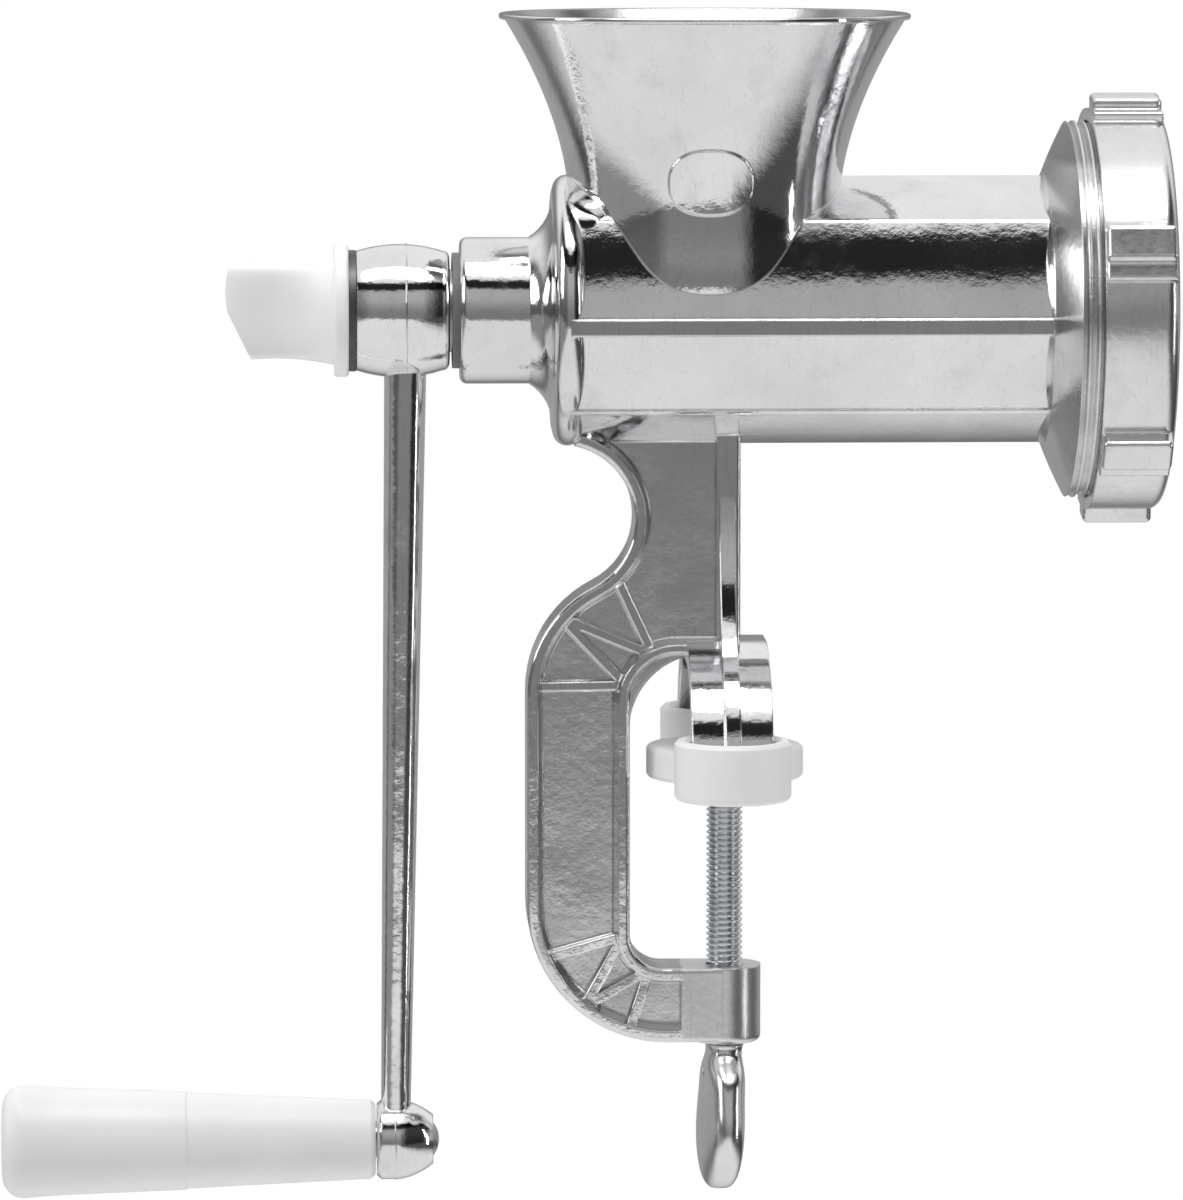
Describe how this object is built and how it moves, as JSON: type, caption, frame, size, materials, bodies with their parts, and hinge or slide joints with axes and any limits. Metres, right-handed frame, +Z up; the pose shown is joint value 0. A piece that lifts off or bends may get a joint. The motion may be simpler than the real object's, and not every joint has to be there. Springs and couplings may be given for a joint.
{
  "type": "hand crank meat grinder",
  "caption": "Cast table-clamp meat grinder with flared hopper, eight-sided barrel, lugged ring nut, side crank with turning grip, and a screw clamp under the barrel.",
  "frame": {"origin": "on the clamp screw's axis, in the plane of the table top that the two foot caps rest on", "axes": "+X along the barrel from the crank to the outlet, +Z up, -Y towards the side that is pictured"},
  "size_m": [0.2534, 0.0906, 0.2596],
  "materials": {
    "polished_casting": "polished cast",
    "plain_casting": "as cast",
    "zinc_steel": "zinc plated",
    "dark_steel": "oiled",
    "tool_steel": "ground",
    "white_plastic": "moulded",
    "cap_plastic": "moulded, milky",
    "grey_nylon": "moulded"
  },
  "bodies": {
    "body": {"body_casting": "polished_casting", "rear_bush": "grey_nylon", "thrust_washer": "grey_nylon", "plate_key_pin": "tool_steel", "near_foot_cap": "cap_plastic", "far_foot_cap": "cap_plastic"},
    "drive": {"feed_screw": "plain_casting", "knife_stud": "tool_steel", "cross_knife": "tool_steel", "crank_arm": "polished_casting", "grip_axle": "zinc_steel", "grip_washer": "zinc_steel"},
    "grip": {"grip": "white_plastic"},
    "knob_washer": {"thumb_washer": "dark_steel"},
    "knob": {"thumb_knob": "white_plastic", "thumb_stud": "zinc_steel"},
    "plate": {"cutting_plate": "tool_steel"},
    "ring": {"ring_nut": "polished_casting"},
    "pad": {"swivel_pad": "cap_plastic"},
    "screw": {"clamp_screw": "zinc_steel", "clamp_wing": "polished_casting", "wing_pin": "dark_steel"}
  },
  "joints": [
    {"name": "crank_turn", "type": "hinge", "parent": "body", "child": "drive", "pos_m": [0, 0, 0.1035], "axis": [1, 0, 0], "continuous": true},
    {"name": "grip_turn", "type": "hinge", "parent": "drive", "child": "grip", "pos_m": [-0.118, 0, -0.0792], "axis": [1, 0, 0], "continuous": true},
    {"name": "knob_travel", "type": "slide", "parent": "drive", "child": "knob_washer", "axis": [-1, 0, 0], "range_m": [0, 0.012]},
    {"name": "knob_turn", "type": "hinge", "parent": "knob_washer", "child": "knob", "pos_m": [-0.085, 0, 0.1035], "axis": [-1, 0, 0], "range_deg": [0, 3456]},
    {"name": "plate_travel", "type": "slide", "parent": "body", "child": "plate", "axis": [1, 0, 0], "range_m": [0, 0.01]},
    {"name": "ring_turn", "type": "hinge", "parent": "plate", "child": "ring", "pos_m": [0.087, 0, 0.1035], "axis": [1, 0, 0], "range_deg": [0, 1800]},
    {"name": "pad_travel", "type": "slide", "parent": "body", "child": "pad", "axis": [0, 0, 1], "range_m": [-0.04, 0]},
    {"name": "clamp_turn", "type": "hinge", "parent": "pad", "child": "screw", "pos_m": [0, 0, 0], "axis": [0, 0, 1], "range_deg": [-11520, 0]}
  ],
  "couplings": [
    {"joint": "knob_travel", "follows": "knob_turn", "m_per_rad": 0.00019894},
    {"joint": "plate_travel", "follows": "ring_turn", "m_per_rad": 0.00031831},
    {"joint": "pad_travel", "follows": "clamp_turn", "m_per_rad": 0.00019894}
  ]
}
